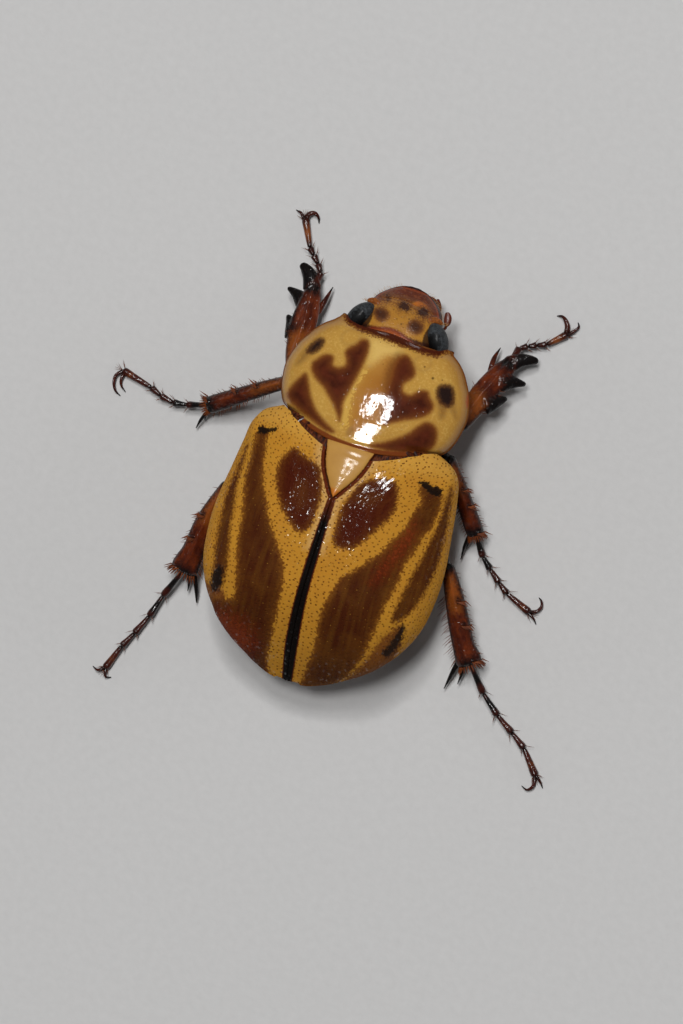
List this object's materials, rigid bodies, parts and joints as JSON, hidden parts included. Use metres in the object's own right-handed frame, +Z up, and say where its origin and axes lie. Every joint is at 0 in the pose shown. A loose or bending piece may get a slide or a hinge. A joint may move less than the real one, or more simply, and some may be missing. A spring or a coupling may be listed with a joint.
{
  "type": "scarab beetle model",
  "caption": "Life-size still model of a yellow masked chafer beetle with dark blotched wing cases, standing with its legs spread.",
  "frame": {"origin": "on the floor, under the middle of the beetle's bounding box", "axes": "+Y towards the head, +X the beetle's right, +Z up from the floor"},
  "size_m": [0.0275, 0.026, 0.0078],
  "materials": {
    "wing_case_chitin": "glossy yellow cuticle with dark brown blotches and fine punctures",
    "shield_chitin": "glossy yellow cuticle with dark brown lobed marks",
    "head_chitin": "glossy yellow and red-brown cuticle",
    "eye_facets": "dark grey faceted eye",
    "leg_chitin": "glossy red-brown cuticle with black teeth and spines",
    "underside_chitin": "brown cuticle with fine hairs",
    "feeler_chitin": "red-brown cuticle"
  },
  "bodies": {
    "root": {"head": "head_chitin", "eye_left": "eye_facets", "eye_right": "eye_facets", "antenna_left": "feeler_chitin", "antenna_right": "feeler_chitin", "mouthparts": "feeler_chitin", "pronotum": "shield_chitin", "prosternum": "underside_chitin", "scutellum": "shield_chitin", "elytron_left": "wing_case_chitin", "elytron_right": "wing_case_chitin", "metathorax": "underside_chitin", "abdomen": "underside_chitin", "pygidium": "underside_chitin", "fore_left_femur": "leg_chitin", "fore_left_tibia": "leg_chitin", "fore_left_tarsus": "leg_chitin", "fore_right_femur": "leg_chitin", "fore_right_tibia": "leg_chitin", "fore_right_tarsus": "leg_chitin", "mid_left_femur": "leg_chitin", "mid_left_tibia": "leg_chitin", "mid_left_tarsus": "leg_chitin", "mid_right_femur": "leg_chitin", "mid_right_tibia": "leg_chitin", "mid_right_tarsus": "leg_chitin", "hind_left_femur": "leg_chitin", "hind_left_tibia": "leg_chitin", "hind_left_tarsus": "leg_chitin", "hind_right_femur": "leg_chitin", "hind_right_tibia": "leg_chitin", "hind_right_tarsus": "leg_chitin"}
  },
  "joints": []
}
